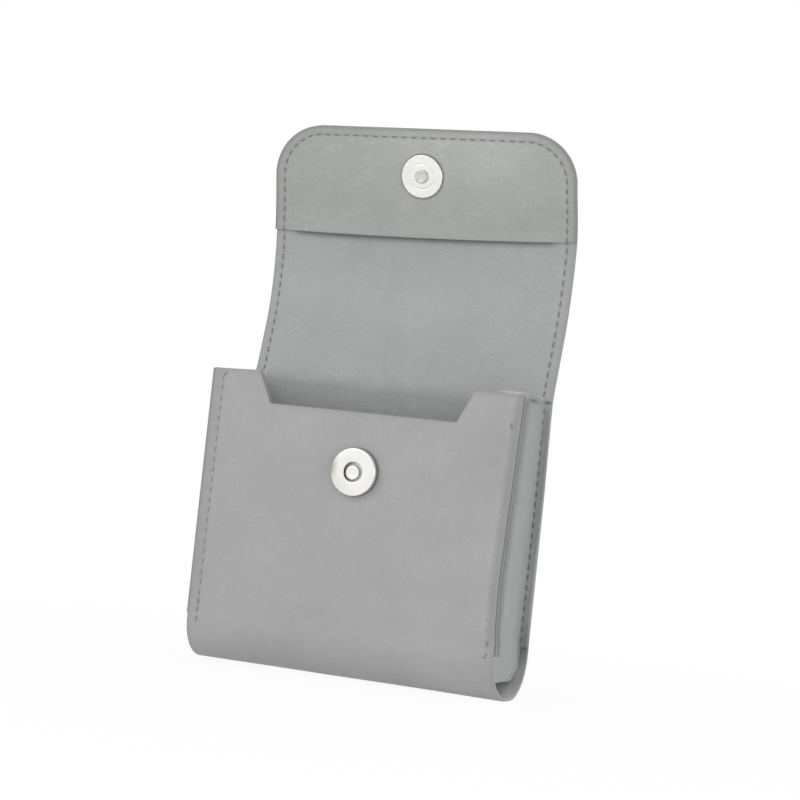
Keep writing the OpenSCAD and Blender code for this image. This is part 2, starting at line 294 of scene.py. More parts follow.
class Line:
    """A smooth line in a plane. Its stops are lengths and headings, in degrees from the second axis."""

    STEP = 0.05

    def __init__(self, start, stops):
        lengths, headings = zip(*stops)
        self.at = np.arange(lengths[0], lengths[-1] + self.STEP, self.STEP)
        self.heading = np.interp(self.at, lengths, np.radians(headings))
        self.first = start[0] + self.run(np.sin(self.heading))
        self.second = start[1] + self.run(np.cos(self.heading))

    def run(self, slope):
        middle = (slope[1:] + slope[:-1]) / 2 * self.STEP
        return np.hstack([0, np.cumsum(middle)])

    def point(self, length, off):
        """The point at a length along the line and a distance off it."""
        course = (self.heading, self.first, self.second)
        heading, first, second = [np.interp(length, self.at, values) for values in course]
        return first + off * np.cos(heading), second - off * np.sin(heading)


# The side line of the case's middle layer. It starts above the front's top edge, as rounded edges do.
side_line = Line(
    (-HALF_D + HALF_T, POCKET_H - LINE_START),
    [
        (LINE_START, 180), (PANEL_LEN, 180), (FOOT_FROM, 90), (FOOT_FROM + FOOT_FLAT, 90), (BACK_FROM, 0),
        (ROOT - ROOT_ROUND, 0), (ROOT + ROOT_ROUND, FLAP_LEAN), (ROOT + BOW_START, FLAP_LEAN),
        (ROOT + BOW_END, -TIP_SLANT), (TIP - LINE_START, -TIP_SLANT),
    ],
)


def twist(x, y, z):
    """How far the pouch lies behind its flat shape at a point."""
    push = np.full_like(z, TWIST[0][1])
    for (low, before), (high, after) in zip(TWIST, TWIST[1:]):
        share = ease((z - low) / (high - low))
        push = np.where(z >= low, before + share * (after - before), push)
    across = np.clip((x + HALF_W) / (2 * HALF_W), 0, 1.02)
    return push * across * ease((HALF_D - 1 - y) / (HALF_D + 9))


def ripple(x, t):
    """The slight unevenness of soft leather over a board, as a slow and a fast wave."""
    slow = 0.09 * np.sin(x / 17 + 0.8) * np.sin(t / 23 + 1.9)
    return slow + 0.035 * np.sin(x / 7.3 + t / 31 + 2.2) * np.sin(t / 9.1 + 0.4)


def cut(x, t):
    """A place on the strip as it is cut, from its place on a straight strip."""
    stops, *shifts = np.array(CUT).T
    left_x, right_x, left_t, right_t = [np.interp(t - ROOT, stops, shift) for shift in shifts]
    left, right = [ease((side * x - CUT_MIDDLE) / (HALF_W - CUT_MIDDLE)) for side in SIDES.values()]
    across = (x + HALF_W) / (2 * HALF_W)
    ahead = left_t + (right_t - left_t) * across
    top = TOP_LIFT * ease((x + HALF_W) / 20) * ease((BELOW_NOTCH - t) / BELOW_NOTCH)
    return x + (left * left_x + right * right_x), t + ahead - top


def settle(x, z):
    """The foot hangs lower at its right end."""
    return -(FOOT_DROP + FOOT_SLOPE * x) * ease((FOOT_HANGS - z) / FOOT_HANGS)


def on_case(x, t, off):
    """A place in space, from a place on the flat strip and a distance off its middle layer."""
    x, t = cut(x, t)
    y, z = side_line.point(t, off + ripple(x, t))
    push = np.where(t < ROOT, twist(x, y, z), 0)
    return np.stack([x, y + push, z + settle(x, z)], -1)


def lining_cut(x, t, off):
    """The front lining's place in space, with its wide side and its raised corner."""
    wide = LINING_PROUD * ease((x - HALF_W + 9) / 8)
    up = LINING_RISE * ease((x - HALF_W + 10) / 3) * ease((4 - t) / 4)
    return on_case(x + wide, t - up, off)


def facing_cut(x, t, off):
    """The facing's place in space, with its hanging free edge."""
    hang = EDGE_HANG * (1 - (x / HALF_W) ** 2)
    return on_case(x, t - hang * fading(t - FACING_EDGE, HANG_REACH), off)


def border(x, t):
    """Distance from a place on the flat strip to the strip's edge."""
    beside, beyond = np.abs(x) - CORNER_X, t - CORNER_T
    straight = np.minimum(HALF_W - np.abs(x), TIP - t)
    return np.where((beside > 0) & (beyond > 0), CORNER_R - np.hypot(beside, beyond), straight)


def notch_stops(rim):
    """Half widths of the notch at its floor and its mouth, drawn out by a rim."""
    run = (NOTCH_TOP_W - NOTCH_FLOOR_W) / 2
    slope = atan2(run, NOTCH_DEPTH)
    floor_x = NOTCH_FLOOR_W / 2 + rim * (1 - sin(slope)) / cos(slope)
    return floor_x, floor_x + run


def shell_edge(x, t):
    """Distance from a place on the shell to its edge, notch and all."""
    top = np.interp(np.abs(x), notch_stops(0), [NOTCH_DEPTH, 0])
    return np.minimum(border(x, t), np.abs(t - top))


def stitched(t):
    """1 where the strip has a seam along its sides, and 0 round the foot."""
    front = ease((t - SEAM_TOP) / SEAM_FADE) * ease((FRONT_END - t) / SEAM_FADE)
    return front + ease((t - BACK_START) / SEAM_FADE)


def seam_inset(x, t):
    """How far the seam lies from the strip's side edge."""
    front = np.where(x < 0, FRONT_INSET["left"], FRONT_INSET["right"])
    back = ease((t - FOOT_FROM) / FOOT_FLAT)
    flap = ease((t - ROOT + 1) / 5)
    return front + (BACK_INSET - front) * back + (FLAP_INSET - BACK_INSET) * flap


def groove(x, t):
    """How deep the seam pulls a face in, from 0 to 1."""
    away = (border(x, t) - seam_inset(x, t)) / GROOVE_W
    pulled = 0.8 + 0.2 * np.cos(2 * np.pi * (t - SEAM_TOP) / PITCH)
    return np.exp(-away * away) * stitched(t) * pulled


def thin_border(x, t):
    """1 at the edge, where there is no board, and 0 over the board."""
    return 1 - ease((border(x, t) - THIN_W) / (BOARD_INSET - THIN_W))


def border_band(x, t):
    """Where the painted shade falls: 1 between the front's right seam and edge, and less beside the left seam.
    """
    strength = np.where(x < 0, LEFT_BAND, 1)
    return strength * ease((seam_inset(x, t) - 0.2 - border(x, t)) / 0.5) * ease((POCKET_H - 10 - t) / 12)


def crease(t, at, depth):
    """The depth of a narrow dent across the strip."""
    return depth * np.exp(-((t - at) / 0.3) ** 2)


def beside_foot(t):
    """1 on the flat panels and 0 round the foot."""
    return ease((FRONT_END - t) / 4) + ease((t - BACK_START) / 4)


# How far each face lies off the strip's middle layer

def leather_outer(x, t):
    sunk = EDGE_SUNK * thin_border(x, t) * beside_foot(t)
    return HALF_T - sunk - GROOVE_DEPTH * groove(x, t)


def leather_inner(x, t):
    """The leather's inner face, with a crease along the back lining's lower edge."""
    filled = EDGE_FILL * thin_border(x, t) * beside_foot(t)
    return HALF_T - LEATHER_T - filled + crease(t, LINING_START - 0.4, 0.35)


def lining_outer(x, t):
    return -HALF_T + LINING_T + EDGE_FILL * thin_border(x, t)


def lining_inner(x, t):
    """The lining's inner face, with a crease just above the gusset's flanges at its sides."""
    on_flap = ease((t - ROOT) / 3)
    sunk = EDGE_SUNK * thin_border(x, t) + GROOVE_DEPTH * groove(x, t)
    beside = ease((np.abs(x) - HALF_W + 2.6) / 0.8)
    return -HALF_T + on_flap * sunk + crease(t, FLANGE_TOP + 0.45, 0.34) * beside


def facing_lift(x, t):
    """The facing's free edge stands a little off the lining between the two side seams."""
    middle = ease((HALF_W - FLAP_INSET - np.abs(x)) / LIFT_SIDES)
    uneven = (1 - 0.25 * x / HALF_W) * (1 + 0.1 * np.sin(x / 5.3))
    return FACING_LIFT * middle * uneven * fading(t - FACING_EDGE, LIFT_REACH)


def facing_outer(x, t):
    return lining_inner(x, t) - GAP - facing_lift(x, t)


def facing_inner(x, t):
    sunk = FACING_SUNK * thin_border(x, t) + GROOVE_DEPTH * groove(x, t)
    return -HALF_T - FACING_T - facing_lift(x, t) + sunk


def level(off):
    """A face at one distance off the middle layer everywhere."""
    return lambda x, t: np.full_like(x, off)


# Meshes

def add_object(name, data):
    made = bpy.data.objects.new(name, data)
    bpy.context.scene.collection.objects.link(made)
    return made


def paint(mesh, material):
    mesh.materials.clear()
    mesh.materials.append(material)


def new_mesh(name, points, faces, material):
    """A mesh from points in millimetres."""
    mesh = bpy.data.meshes.new(name)
    mesh.from_pydata((np.asarray(points) * MM).tolist(), [], [list(map(int, face)) for face in faces])
    paint(mesh, material)
    return mesh


def mesh_piece(name, points, faces, material, marks=None):
    """A smooth piece with its faces turned out. Marks are numbers for each point, for its material."""
    mesh = new_mesh(name, points, faces, material)
    mesh.validate()
    for key, values in (marks or {}).items():
        values = np.asarray(values, np.float32)
        kind, field = ("FLOAT_VECTOR", "vector") if values.ndim == 2 else ("FLOAT", "value")
        mesh.attributes.new(key, kind, "POINT").data.foreach_set(field, values.ravel())
    mesh.polygons.foreach_set("use_smooth", [True] * len(mesh.polygons))
    shape = bmesh.new()
    shape.from_mesh(mesh)
    bmesh.ops.recalc_face_normals(shape, faces=shape.faces)
    shape.to_mesh(mesh)
    shape.free()
    piece = add_object(name, mesh)
    return piece


def outline_normals(points, closed):
    """Steps outwards from an outline, stretched at its corners so that its edges move alike."""
    edges = np.roll(points, -1, 0) - points
    if not closed:
        edges[-1] = edges[-2]
    x, y = points.T
    turn = np.sign(np.sum(x * np.roll(y, -1) - y * np.roll(x, -1)))
    after = np.stack([edges[:, 1], -edges[:, 0]], 1) * turn / np.linalg.norm(edges, axis=1, keepdims=True)
    before = np.roll(after, 1, 0)
    if not closed:
        before[0] = after[0]
    return (before + after) / (1 + np.sum(before * after, 1, keepdims=True))


def strips(rows, closed=False):
    """The four-sided faces between rows of vertex numbers."""
    if closed:
        rows = np.column_stack([rows, rows[:, 0]])
    here, there = rows[:-1], rows[1:]
    return np.stack([here[:, :-1], here[:, 1:], there[:, 1:], there[:, :-1]], -1).reshape(-1, 4)


def sheet_piece(name, grid, layer, place=on_case, open_end=None, edge_of=border):
    """A sheet with two faces and rounded edges. Its grid is drawn in from its edge by the edge's radius.
    Where open_end names the first or last row, the sheet goes on in another piece."""
    x, t = grid
    outer, inner, edge_r, material, slot = layer
    number = np.arange(x.size).reshape(x.shape)
    first, last, left, right = number[0], number[-1], number[:, 0], number[:, -1]
    loops = {
        "last": [left[::-1], first[1:], right[1:]],
        "first": [left, last[1:], right[:-1][::-1]],
        None: [first, right[1:], last[:-1][::-1], left[1:-1][::-1]],
    }
    loop = np.hstack(loops[open_end])
    flat = np.stack([x.ravel(), t.ravel()], 1)
    edge = flat[loop]
    normals = outline_normals(edge, open_end is None)

    out_face, in_face = outer(*flat.T), inner(*flat.T)
    half = (out_face[loop] - in_face[loop]) / 2
    middle = (out_face[loop] + in_face[loop]) / 2
    places, offs = [flat, flat], [out_face, in_face]
    for side, slope in EDGE_RINGS:
        angle = radians(slope)
        places.append(edge + normals * edge_r * cos(angle))
        offs.append(middle + side * (half - edge_r) + edge_r * sin(angle))
    places, offs = np.vstack(places), np.hstack(offs)
    between = np.arange(2 * x.size, len(places)).reshape(len(EDGE_RINGS), -1)
    rings = np.vstack([loop, between, loop + x.size])
    faces = [strips(number), strips(number + x.size)[:, ::-1], strips(rings, open_end is None)]
    marks = {
        "flat": np.column_stack([places, offs]),
        "rim": fading(edge_of(*places.T), RIM_REACH),
        "seam": groove(*places.T),
        "band": border_band(*places.T),
    }
    return mesh_piece(name, place(*places.T, offs), np.vstack(faces), material, marks)


def spread(stops, steps):
    """Numbers from stop to stop, each stretch in steps of about the given size."""
    parts = []
    for low, high, step in zip(stops, stops[1:], steps):
        count = max(1, round((high - low) / step))
        parts.append(np.linspace(low, high, count, endpoint=False))
    return np.hstack(parts + [stops[-1]])


def both_sides(half):
    return np.hstack([-half[:0:-1], half])


def columns(inset):
    """Places across the strip, close together over the seams and the notch's slopes."""
    stops = [0, *notch_stops(inset), HALF_W - 6.5, HALF_W - 4.2, HALF_W - inset]
    return both_sides(spread(stops, [1.6, 0.5, 1.2, 0.6, 0.25]))


def front_rows(x, inset, t_to, step=0.055):
    """Lengths down the front from its notched top edge to t_to, one row for each step."""
    top = np.interp(np.abs(x), notch_stops(inset), [NOTCH_DEPTH + inset, inset])
    return top + (t_to - top) * spread([0, 1], [step])[:, None]


def strip_grid(inset, t_from, t_to, fine=()):
    """Grids over a plain stretch of the strip, with fine rows between the lengths in fine."""
    return np.meshgrid(columns(inset), spread([t_from, *fine, t_to], [ROW_STEP, FINE_STEP, ROW_STEP]))


def front_grid(inset, t_to, fine=()):
    """Grids from the front's top edge, notch and all, to a length along the strip."""
    x = columns(inset)
    top_t = front_rows(x, inset, BELOW_NOTCH)
    low_x, low_t = strip_grid(inset, BELOW_NOTCH, t_to, fine)
    return np.vstack([np.tile(x, (len(top_t) - 1, 1)), low_x]), np.vstack([top_t[:-1], low_t])


def flap_grid(inset, t_from, x=None, step=ROW_STEP, turns=30):
    """Grids from a length along the strip to the flap's rounded end."""
    x = columns(inset) if x is None else x
    r = CORNER_R - inset
    straight = spread([t_from, CORNER_T], [step])
    angles = np.radians(np.linspace(0, 90, turns + 1)[1:])
    t = np.hstack([straight, CORNER_T + r * np.sin(angles)])
    reach = np.hstack([np.full(len(straight), HALF_W - inset), CORNER_X + r * np.cos(angles)])
    return (x / (HALF_W - inset))[None, :] * reach[:, None], np.repeat(t[:, None], len(x), 1)


def gusset_line(proud):
    """The gusset's line as seen from above: front flange, web and back flange."""
    bend = GUSSET_BEND_R * pi / 2
    flange = HALF_W - WEB_X - GUSSET_BEND_R
    flange_y = HALF_D - 2 * HALF_T - GUSSET_T / 2
    web = 2 * (flange_y - GUSSET_BEND_R)
    lean = degrees(4 * WEB_BOW / web)
    splay = degrees(WEB_SPLAY / web)
    *ends, length = np.cumsum([flange + proud, bend, web, bend, flange + BACK_PROUD - WEB_SPLAY])
    headings = [-90, -90, splay - lean, splay + lean, 90, 90]
    return Line((HALF_W + proud, -flange_y), list(zip([0, *ends, length], headings))), ends, length


# Materials

def colour(*values):
    """A colour given as the eye reads it, from 0 to 255, as the shader needs it."""
    read = [value / 255 for value in values]
    return (*(v / 12.92 if v <= 0.04045 else ((v + 0.055) / 1.055) ** 2.4 for v in read), 1)


def shade(base, factor):
    return tuple(value * factor for value in base[:3]) + (1,)


class Shader:
    """The node tree of a material or the world, with short calls for its nodes."""

    def __init__(self, owner):
        self.owner = owner
        owner.use_nodes = True
        owner.node_tree.nodes.clear()

    def add(self, kind, sockets, **settings):
        """Adds a node and gives its outputs. A socket gets a value, or a link to an output."""
        made = self.owner.node_tree.nodes.new("ShaderNode" + kind)
        for key, value in settings.items():
            setattr(made, key, value)
        for key, value in sockets.items():
            if isinstance(value, bpy.types.NodeSocket):
                self.owner.node_tree.links.new(value, made.inputs[key])
            else:
                made.inputs[key].default_value = value
        return made.outputs

    def surface(self, tone, roughness, sockets):
        return self.add("BsdfPrincipled", {"Base Color": tone, "Roughness": roughness, **sockets})["BSDF"]

    def finish(self, tone, roughness, normal, more=None):
        surface = self.surface(tone, roughness, {"Normal": normal, **(more or {})})
        self.add("OutputMaterial", {"Surface": surface})
        return self.owner

    def mark(self, name, field="Fac"):
        """A number or place kept with the mesh."""
        return self.add("Attribute", {}, attribute_name=name)[field]

    def here(self):
        return self.add("TexCoord", {})["Object"]

    def noise(self, place, scale, detail=2.0, roughness=0.5):
        sockets = {"Vector": place, "Scale": scale, "Detail": detail, "Roughness": roughness}
        return self.add("TexNoise", sockets)["Fac"]

    def cells(self, place, scale, feature="F1"):
        return self.add("TexVoronoi", {"Vector": place, "Scale": scale}, feature=feature)["Distance"]

    def ranged(self, value, low, high, to_low=0, to_high=1, **settings):
        sockets = {"Value": value, "From Min": low, "From Max": high, "To Min": to_low, "To Max": to_high}
        return self.add("MapRange", sockets, **settings)["Result"]

    def maths(self, operation, *values):
        return self.add("Math", dict(enumerate(values)), operation=operation)[0]

    def times(self, first, second):
        return self.maths("MULTIPLY", first, second)

    def vectors(self, operation, *values):
        return self.add("VectorMath", dict(enumerate(values)), operation=operation)

    def stretched(self, place, x, y, z):
        return self.vectors("MULTIPLY", place, (x, y, z))["Vector"]

    def scaled(self, tone, factor):
        return self.add("VectorMath", {0: tone, "Scale": factor}, operation="SCALE")["Vector"]

    def mixed(self, share, first, second):
        return self.add("Mix", {0: share, 6: first, 7: second}, data_type="RGBA")[2]

    def blended(self, share, first, second):
        return self.add("MixShader", {0: share, 1: first, 2: second})["Shader"]

    def near_ring(self, place, middle, radius, width):
        """1 beside a circle on the flat strip, fading outwards to 0, for a painted contact shadow."""
        away = self.vectors("DISTANCE", self.stretched(place, 1, 1, 0), (*middle, 0))
        return self.ranged(away["Value"], radius, radius + width, 1, 0)

    def spotted(self, tone, place, spots):
        """A tone with spots, each a middle, the reach along each axis where it fades out, and a factor."""
        for middle, reach, factor in spots:
            moved = self.vectors("SUBTRACT", place, middle)["Vector"]
            far = self.vectors("LENGTH", self.stretched(moved, *(1 / part for part in reach)))["Value"]
            near = self.ranged(far, 0, 1, 1, 0, interpolation_type="SMOOTHSTEP")
            tone = self.mixed(near, tone, self.scaled(tone, factor))
        return tone

    def below_edge(self, place, length):
        """Where the painted shadow falls: 1 just below the facing's hanging edge, fading to 0 down the strip
        and near its sides.
        """
        parts = self.add("SeparateXYZ", {0: place})
        share = self.maths("DIVIDE", parts["X"], HALF_W)
        hang = self.times(self.maths("SUBTRACT", 1, self.times(share, share)), EDGE_HANG)
        below = self.maths("SUBTRACT", self.maths("SUBTRACT", length, hang), parts["Y"])
        aside = self.ranged(self.maths("ABSOLUTE", parts["X"]), HALF_W - 8, HALF_W - 4, 1, 0)
        return self.times(self.ranged(below, -0.3, UNDER_REACH, 1, 0), aside)

    def bump(self, height, depth_mm, strength=1.0):
        sockets = {"Strength": strength, "Distance": depth_mm * MM, "Height": height}
        return self.add("Bump", sockets)["Normal"]


def new_material(name):
    return Shader(bpy.data.materials.new(name))


def leather(
    name, base, grain_and_sheen, grain=1.0, roughness=0.5, rim_shade=0.8, snap=None, painted_highlights=(), spots=(), under=None,
):
    """Coated leather: fine pebbled grain with soft creases, pale specks painted as glints of sheen, and a
    darker rim.
    Painted shade darkens it outside a seam and in its groove, a painted contact shadow lies round a snap given
    by its middle and radius, and a painted shadow below a free edge at the length under. Painted highlights lie
    below the dark rim, and spots of painted light and shade over it."""
    s = new_material(name)
    place = s.mark("flat", "Vector")
    patches = s.noise(place, 0.045, 3.0)
    cloudy = s.noise(place, 0.35, 4.0, 0.6)
    pebbles = s.cells(place, 1.5, "SMOOTH_F1")
    pores = s.noise(place, 3.6, 3.0, 0.65)
    creases = s.noise(s.stretched(place, 0.35, 1.3, 1), 0.55, 4.0, 0.6)
    lines = s.ranged(s.maths("ABSOLUTE", s.maths("SUBTRACT", creases, 0.5)), 0.0, 0.018, 1, 0)
    lines = s.times(lines, s.ranged(s.noise(place, 0.12), 0.47, 0.6))

    tone = s.mixed(s.ranged(patches, 0.35, 0.65), shade(base, 0.955), shade(base, 1.035))
    # The steps: pale specks painted as glints of sheen, darker pores, pale crease lines, and painted shade
    # outside a seam
    for share, factor in (
        (s.ranged(cloudy, 0.4, 0.62, 0, 0.5), 1.07),
        (s.ranged(pores, 0.56, 0.7, 0, 0.5 * grain_and_sheen), 1.3),
        (s.ranged(pores, 0.43, 0.3, 0, 0.5 * grain_and_sheen), 0.78),
        (s.times(lines, 0.6 * grain_and_sheen), 1.28),
        (s.mark("band"), BAND_SHADE),
    ):
        tone = s.mixed(share, tone, shade(base, factor))
    # Painted highlights, which the darker rim then covers
    tone = s.spotted(tone, place, painted_highlights)
    # A painted shadow on the lining just below the facing's free edge
    if under:
        tone = s.mixed(s.below_edge(place, under), tone, s.scaled(tone, UNDER_SHADE))
    tone = s.mixed(s.times(s.mark("rim"), 0.85), tone, shade(base, rim_shade))
    tone = s.spotted(tone, place, spots)
    # A painted contact shadow round the snap
    if snap:
        tone = s.mixed(s.near_ring(place, *snap, 0.75), tone, shade(base, SNAP_SHADE))
    # Painted shade in the seam's groove
    tone = s.mixed(s.times(s.mark("seam"), 0.4), tone, shade(base, SEAM_SHADE))

    height = s.maths("ADD", s.times(pebbles, 0.5), s.times(pores, 0.7))
    height = s.maths("ADD", height, s.times(creases, 1.1))
    rough = s.ranged(cloudy, 0.3, 0.7, roughness - 0.05, roughness + 0.07)
    return s.finish(tone, rough, s.bump(height, 0.08 * grain, 0.85), {"Specular IOR Level": 0.42})


def thread(name, base):
    """Twisted thread: painted shade between the plies, with stray fibres."""
    s = new_material(name)
    fibres = s.noise(s.here(), 9000, 3.0)
    tone = s.mixed(s.ranged(s.mark("ply"), -1, 0.6, 1, 0), base, shade(base, 0.55))
    tone = s.mixed(s.ranged(fibres, 0.5, 0.75, 0, 0.5), tone, shade(base, 1.3))
    return s.finish(tone, 0.7, s.bump(fibres, 0.02), {"Sheen Weight": 0.25})


def metal(name, base, roughness, stain=0.9, fine=1.0, dull=()):
    """Plated metal with a satin face, faint rub marks and duller patches. Dull gives spots in millimetres."""
    s = new_material(name)
    place = s.here()
    patches = s.noise(place, 260, 4.0)
    rubs = s.noise(s.stretched(place, 1, 1, 9), 900, 3.0)
    tone = s.mixed(s.ranged(patches, 0.4, 0.75, 0, 0.6), base, shade(base, stain))
    tone = s.spotted(tone, s.stretched(place, 1 / MM, 1 / MM, 1 / MM), dull)
    rough = s.ranged(rubs, 0.3, 0.7, roughness - 0.05, roughness + 0.08)
    return s.finish(tone, rough, s.bump(s.maths("ADD", patches, rubs), 0.006 * fine, 0.6), {"Metallic": 1.0})


def card(name, base):
    """Pressed board with short fibres."""
    s = new_material(name)
    place = s.mark("flat", "Vector")
    fibres = s.noise(s.stretched(place, 1, 0.2, 1), 2.5, 4.0, 0.7)
    tone = s.mixed(s.ranged(fibres, 0.35, 0.65), shade(base, 0.85), shade(base, 1.1))
    tone = s.mixed(s.ranged(s.cells(place, 0.8), 0.06, 0.0, 0, 0.6), tone, shade(base, 0.6))
    return s.finish(tone, 0.9, s.bump(fibres, 0.04))


def ferrite(name, base):
    """Sintered magnet with fine pores."""
    s = new_material(name)
    pores = s.noise(s.here(), 2600, 5.0, 0.7)
    tone = s.mixed(s.ranged(pores, 0.3, 0.7), shade(base, 0.7), shade(base, 1.25))
    return s.finish(tone, 0.55, s.bump(pores, 0.02))


def spot(x, t, wide, long, factor, off=0, deep=1000):
    """A patch on the strip, through all of its layers unless deep says otherwise."""
    return (x, t, off), (wide, long, deep), factor


# Painted light on the lining: a broad highlight across the flap, and reflected light low on its left by the
# pocket's top
LINING_HIGHLIGHTS = [spot(4, ROOT + 27, 75, 13, 1.07), spot(-18, ROOT + 2, 52, 16, 1.12)]
# The lining's corner at the front's right end gets a painted highlight where it stands up, and its creases
# above the right back flange get painted shade
CREASE_AT = FLANGE_TOP + 0.4
LINING_MARKS = [
    spot(HALF_W - 4.2, 0, 7, 3, 1.6),
    spot(HALF_W - 1.2, CREASE_AT, 1.9, 0.7, 0.4),
    spot(HALF_W - 5.6, CREASE_AT + 0.3, 2, 0.9, 0.6),
]
# The outer leather gets painted shade at the front's upper right and the foot's left end, and painted light
# further right, low on the front and on the foot
SHELL_MARKS = [
    spot(HALF_W - 5, 18, 16, 28, 0.925),
    spot(-22, 83, 38, 10, 0.95),
    spot(33, 84, 18, 8, 1.06),
    spot(22, 68, 24, 14, 1.05),
]
# The leather's inner face at the foot's ends: painted light below, and painted shade higher up at the back and
# beside the web
FOOT_MARKS = []
for side in SIDES.values():
    FOOT_MARKS += [
        spot(side * HALF_W, FOOT_FROM + FOOT_FLAT, 16, 14, 2.1, *FOOT_INSIDE),
        spot(side * HALF_W, BACK_FROM + 2, 16, 9, 0.42, *FOOT_INSIDE),
        spot(side * WEB_X, FOOT_FROM - 2, 7, 9, 0.55, *FOOT_INSIDE),
    ]
# The back flange, which ends at this length along the gusset, gets painted shade low down and painted light
# higher up, and the web painted shade low in its middle
FLANGE_END = gusset_line(FRONT_PROUD["right"])[2]
FLANGE_MARKS = [
    spot(FLANGE_END, BACK_LOW, 5, 9, 0.7),
    spot(FLANGE_END, BACK_LOW + 20, 5, 14, 1.08),
    spot(FLANGE_END / 2, BACK_LOW + 2, 12, 13, 0.955),
]
# The socket's cover is darker at its lower left and at its left edge
COVER_DARK_SPOTS = [
    ((SOCKET_ASIDE - 4.2, -HALF_D - SOCKET_H, SNAP_Z - 4.2), (5, 5, 5), 0.9),
    ((SOCKET_ASIDE - 6.9, -HALF_D - SOCKET_H, SNAP_Z + 0.8), (2.8, 4, 5.5), 0.5),
]

shell_leather = leather(
    "shell_leather", colour(166, 167, 166), 0.9, spots=FOOT_MARKS + SHELL_MARKS,
    snap=((SOCKET_ASIDE, POCKET_H - SNAP_Z), SOCKET_D / 2 - 0.2),
)
# The lining gets painted highlights, spots of painted light and shade, and a painted shadow below the facing's
# edge
lining_leather = leather(
    "lining_leather", colour(165, 167, 166), 1.5, painted_highlights=LINING_HIGHLIGHTS, spots=LINING_MARKS,
    under=FACING_EDGE,
)
# The facing has a broad painted highlight on its upper right
facing_leather = leather(
    "facing_leather", colour(162, 164, 162), 1.7, 1.1, 0.48, 0.6, painted_highlights=[spot(8, ROOT + 73, 58, 25, 1.2)],
    snap=((0, ROOT + STUD_AT), PLATE_D / 2 - 0.1),
)
gusset_leather = leather("gusset_leather", colour(155, 160, 159), 0.5, 0.7, 0.52, spots=FLANGE_MARKS)
seam_thread = thread("seam_thread", colour(120, 126, 124))
sunk_thread = thread("sunk_thread", colour(138, 142, 140))
shaded_thread = thread("shaded_thread", colour(99, 105, 103))
board_card = card("board_card", colour(196, 178, 142))
nickel = metal("satin_nickel", colour(241, 240, 235), 0.3)
cover_nickel = metal("cover_nickel", colour(241, 240, 235), 0.3, dull=COVER_DARK_SPOTS)
worn_nickel = metal("worn_nickel", colour(216, 214, 210), 0.38, 0.78, 2.0)
zinc = metal("zinc_plate", colour(200, 200, 202), 0.35, 0.8)
magnet = ferrite("ferrite", colour(84, 82, 79))

# Each kind of sheet, as its outer and inner face, its edge's radius, its material and its slot
LEATHER = (leather_outer, leather_inner, EDGE_R, shell_leather, "leather")
LINING = (lining_outer, lining_inner, THIN_R, lining_leather, "lining")
FACING = (facing_outer, facing_inner, THIN_R, facing_leather, "leather")
BOARD = (level(BOARD_MID + BOARD_HALF), level(BOARD_MID - BOARD_HALF), BOARD_EDGE_R, board_card, "board")
GUSSET = (level(GUSSET_HALF), level(-GUSSET_HALF), EDGE_R, gusset_leather, "gusset_leather")


# The leather, linings, facing and boards

def middle_point(s):
    """A point of the flap's middle layer in the row frame, in metres."""
    y, z = side_line.point(ROOT + s, 0)
    return (0, float(y) * MM, float(z) * MM)


def bend_rear(piece):
    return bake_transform(piece, "pouch", "flap_bridge", start=middle_point(0), end=middle_point(REAR_FOLD_END))


def bend_front(piece):
    start, end = [middle_point(s) for s in FRONT_FOLD]
    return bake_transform(piece)


def make_leather():
    grid = front_grid(EDGE_R, SPLIT, (LINING_START - 1.2, LINING_START + 0.3))
    shell = sheet_piece("shell_leather", grid, LEATHER, open_end="last", edge_of=shell_edge)
    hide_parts("outer_leather", "rear_fold_leather", "bridge_leather")
    bend_rear(shell)
    grid = flap_grid(EDGE_R, SPLIT)
    flap = sheet_piece("flap_leather_sheet", grid, LEATHER, open_end="first")
    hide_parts("flap_leather", "front_fold_leather")
    bend_front(flap)


def make_linings():
    grid = front_grid(THIN_R, POCKET_H - FRONT_LOW - THIN_R)
    front = sheet_piece("front_lining_sheet", grid, LINING, lining_cut, edge_of=shell_edge)
    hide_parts("front_lining")
    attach(front, "pouch")
    grid = strip_grid(THIN_R, LINING_START + THIN_R, SPLIT, (ROOT - 3, ROOT))
    back = sheet_piece("back_lining_sheet", grid, LINING, open_end="last")
    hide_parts("back_lining", "rear_fold_lining", "bridge_lining")
    bend_rear(back)
    grid = flap_grid(THIN_R, SPLIT)
    flap = sheet_piece("flap_lining_sheet", grid, LINING, open_end="first")
    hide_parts("flap_lining", "front_fold_lining")
    bend_front(flap)


def make_facing():
    """The facing is cut a little wider than the flap, so its sides stand past it."""
    x, t = flap_grid(THIN_R, FACING_EDGE + THIN_R)
    facing = sheet_piece("facing_sheet", (x * (HALF_W + FACING_PROUD) / HALF_W, t), FACING, facing_cut)
    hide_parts("flap_facing")
    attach(facing, "flap_tip")


def make_boards():
    """Stiffening boards between leather and lining."""
    x = both_sides(spread([0, *notch_stops(NOTCH_RIM), HALF_W - BOARD_INSET], [4, 1.5, 2]))
    front_t = front_rows(x, NOTCH_RIM, FRONT_END, 0.05)
    fold = [ROOT + s for s in FRONT_FOLD]
    boards = {
        "front_board": ("pouch", (np.tile(x, (len(front_t), 1)), front_t)),
        "back_board": ("pouch", np.meshgrid(x, spread([ROOT - FRONT_END, ROOT - NOTCH_RIM], [3]))),
        "bridge_board": ("flap_bridge", np.meshgrid(x, spread([ROOT + REAR_FOLD_END, fold[0]], [2]))),
        "flap_board": ("flap_tip", flap_grid(BOARD_INSET, fold[1], x, 2, 12)),
    }
    for node, (body, grid) in boards.items():
        board = sheet_piece(node + "_card", grid, BOARD)
        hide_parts(node)
        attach(board, body)


# The gussets

